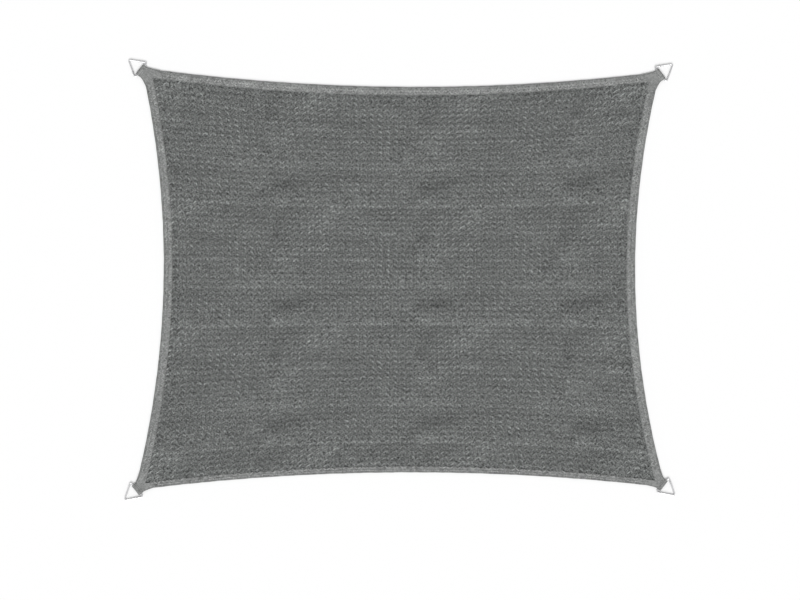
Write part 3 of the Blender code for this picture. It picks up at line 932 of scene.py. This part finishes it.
def buildWebbing(name):
    # Lower patch, fold and upper patch as one strip; half the wall is set off on either side of its middle
    across = np.linspace(0, 1, webbing["across"])
    foldIn, foldUp = foldLine()
    patchShare = np.linspace(1, 0, webbing["patchSteps"])[:-1]
    flat = np.ones(len(patchShare))
    wall = webbing["wall"] / 2
    over = (across - 0.5) * webbing["width"]
    patch = patchPlan(name, patchShare[:, None], across)
    plan = np.concatenate([patch, stacked(-foldIn[:, None], over), patch[::-1]])
    height = np.concatenate([wall * flat, foldUp, (layers["stack"] + webbing["proud"] - wall) * flat])
    # outward normal: the fold's direction turned a quarter, straight down or up on the patches
    normal = unit(stacked(-np.gradient(foldUp), np.gradient(foldIn)))
    normalIn = np.pad(normal[:, 0], len(flat))
    normalUp = np.concatenate([-flat, normal[:, 1], flat])
    toSide = np.abs(2 * across - 1)
    rounded = webbing["edgeRound"] * toSide ** webbing["edgePower"]
    ribWave = np.cos(2 * np.pi * webbing["ribs"] * across)
    shells = []
    for offset in (wall + webbing["rib"] * ribWave - rounded, rounded - wall):
        local = plan.copy()
        local[..., 0] -= normalIn[:, None] * offset
        z = np.maximum(height[:, None] + normalUp[:, None] * offset, webbing["floorGap"])
        shells.append(lifted(cornerToWorld(name, local), z))
    # distance along the middle of the strip, and the flat width across it
    steps = np.linalg.norm(np.diff(plan[:, len(across) // 2], axis=0), axis=-1)
    run = np.concatenate([[0], np.cumsum(steps)])[:, None]
    uv = stacked(run, over)
    # Painted shade: darker along both sides of the strip and across its folded end
    sideShade = 1 - webbing["sideShade"] * bell(toSide, 1, webbing["sideWidth"])
    endShade = 1 - webbing["endShade"] * bell(foldIn, 0, webbing["endWidth"])
    tone = np.concatenate([flat, endShade, flat])[:, None] * sideShade * (1 + webbing["ribTone"] * ribWave)
    addPiece("webbing_strip_" + name, np.stack(shells), shellFaces(len(height), len(across)),
             "corner_webbing", uv, tone, "webbing_" + name, webbing["sharp"])


# Sewing on the webbing: rows inside its borders, and a bar tack behind the ring's bar
patchSeam = dict(near=0.04, far=0.93, margin=0.055, sideCount=15, borderCount=26, gap=0.12, radius=0.0011,
                 bed=0.0001)
barTack = dict(count=25, halfWidth=0.024, outer=-0.0180, inner=-0.0235, radius=0.0009,
               slopeFrom=0.0110, slopeTo=0.0200, foldTop=0.0101)


def buildWebbingSeams(name, seed):
    # Straight lines in the patch's own coordinates, and a zigzag in the corner's local ones
    top = layers["stack"] + webbing["proud"]
    margin = patchSeam["margin"]
    a = np.linspace(patchSeam["near"], patchSeam["far"], patchSeam["sideCount"])
    b = np.linspace(margin, 1 - margin, patchSeam["borderCount"])
    lines = [patchPlan(name, *place) for place in ((a, margin), (a, 1 - margin), (patchSeam["far"], b))]
    bed = top - patchSeam["bed"]
    rows = [stitchEnds(cornerToWorld(name, line), bed, patchSeam["gap"]) for line in lines]
    threads = [np.concatenate(part) for part in zip(*rows)]
    addSeam("stitches_patch_" + name, threads, patchSeam["radius"], seed)
    y = np.linspace(-barTack["halfWidth"], barTack["halfWidth"], barTack["count"])
    x = np.where(np.arange(barTack["count"]) % 2 == 0, barTack["inner"], barTack["outer"])
    z = np.interp(-x, [barTack["slopeFrom"], barTack["slopeTo"]], [barTack["foldTop"], top])
    threads = stitchEnds(cornerToWorld(name, stacked(x, y)), z, 0.0)
    addSeam("bar_tack_" + name, threads, barTack["radius"], seed + 1)


for seed, name in enumerate(corners):
    buildWebbing(name)
    buildWebbingSeams(name, 60 + 2 * seed)
print("stage: corner webbings sewn")


# Rings: a closed triangle of round wire, drooping to the floor, with a weld on one side
ring = dict(side=0.088, bend=0.006, wire=0.00325, barFromEnd=0.0092, bendSteps=10, sideSteps=14, round=20,
            weld=0.20, weldLength=0.0035, weldHeight=0.0006, weldDark=0.30, weldDarkAt=1.5, weldDarkWidth=0.8)


def ringLine():
    # Three arcs joined by straight sides, as one closed line; the bar is at the origin and the tip outwards
    third = ring["side"] * math.sqrt(3) / 6
    middle = 2 * third - 2 * ring["bend"]
    arcs = []
    for turn in (0, 120, 240):
        swing = np.radians(np.linspace(-60, 60, ring["bendSteps"] + 1))
        arc = stacked(middle + ring["bend"] * np.cos(swing), ring["bend"] * np.sin(swing))
        arcs.append(turned(arc, turn) + np.array([third, 0.0]))
    share = np.linspace(0, 1, ring["sideSteps"] + 2)[1:-1, None]
    line = [part for arc, after in zip(arcs, arcs[1:] + arcs[:1])
            for part in (arc, arc[-1] * (1 - share) + after[0] * share)]
    return np.concatenate(line), third + middle + ring["bend"]


def buildRing(name):
    # A circle carried along the line, swollen at the weld, tipped about the bar until its tip meets the floor
    line, tip = ringLine()
    tangent = unit(np.roll(line, -1, axis=0) - np.roll(line, 1, axis=0))
    side = stacked(tangent[:, 1], -tangent[:, 0])
    angle = np.arange(ring["round"]) * 2 * np.pi / ring["round"]
    weldPoint = line[int(ring["bendSteps"] + 1 + ring["sideSteps"] * (1 - ring["weld"]))]
    nearWeld = np.linalg.norm(line - weldPoint, axis=-1)[:, None] / ring["weldLength"]
    radius = ring["wire"] + ring["weldHeight"] * bell(nearWeld, 0, 1)
    local = line[:, None] + side[:, None] * (np.cos(angle) * radius)[..., None]
    droop = math.degrees(math.asin((webbing["loop"] - ring["wire"]) / tip))
    x, z = np.moveaxis(turned(stacked(local[..., 0], np.sin(angle) * radius), -droop), -1, 0)
    base = cornerToWorld(name, np.array([-ring["barFromEnd"], 0.0]))
    plan = base + turned(stacked(x, local[..., 1]), corners[name]["ringTurn"])
    world = lifted(plan, np.maximum(z + webbing["loop"], 0.0))
    length = np.cumsum(np.linalg.norm(np.roll(line, -1, axis=0) - line, axis=-1))[:, None]
    uv = stacked(length, np.sin(angle) * ring["wire"])
    tone = 1 - ring["weldDark"] * bell(nearWeld, ring["weldDarkAt"], ring["weldDarkWidth"])
    faces = gridFaces(*uv.shape[:2], wrapRows=True, wrapColumns=True)
    addPiece("wire_ring_" + name, world, faces, "steel_wire", uv, tone, "ring_" + name)


for name in corners:
    buildRing(name)
print("stage: rings made")


# Studio: pale floor, soft light, camera straight above
studio = dict(floorHalf=30.0, floorGap=0.0002, floor=dict(color=(0.9, 0.9, 0.9), roughness=0.9, specular=0.1),
              camera=(0.0012, -0.0922, 10.2), lens=100.0, sensor=36.0, worldStrength=0.62,
              sunStrength=2.30, sunSoftness=40.0, sunTurn=(48.0, 0.0, 0.0))


def makeFloor():
    half = studio["floorHalf"]
    low = -studio["floorGap"]
    mesh = bpy.data.meshes.new("floor")
    mesh.from_pydata([(-half, -half, low), (half, -half, low), (half, half, low), (-half, half, low)], [],
                     [(0, 1, 2, 3)])
    mesh.materials.append(plainMaterial("pale_floor", studio["floor"])[0])
    addToScene("floor", mesh)


def makeLight():
    world = bpy.data.worlds.new("studio")
    world.use_nodes = True
    back = world.node_tree.nodes["Background"]
    back.inputs["Color"].default_value = (1.0, 1.0, 1.0, 1.0)
    back.inputs["Strength"].default_value = studio["worldStrength"]
    bpy.context.scene.world = world
    lamp = bpy.data.lights.new("soft_key", "SUN")
    lamp.energy = studio["sunStrength"]
    lamp.angle = math.radians(studio["sunSoftness"])
    addToScene("soft_key", lamp).rotation_euler = np.radians(studio["sunTurn"])


def makeCamera():
    lens = bpy.data.cameras.new("view")
    lens.lens = studio["lens"]
    lens.sensor_width = studio["sensor"]
    lens.clip_end = 100.0
    camera = addToScene("view", lens)
    camera.location = studio["camera"]
    bpy.context.scene.camera = camera


makeFloor()
makeLight()
makeCamera()
bpy.context.scene.view_settings.view_transform = "Standard"
print("stage: studio set")
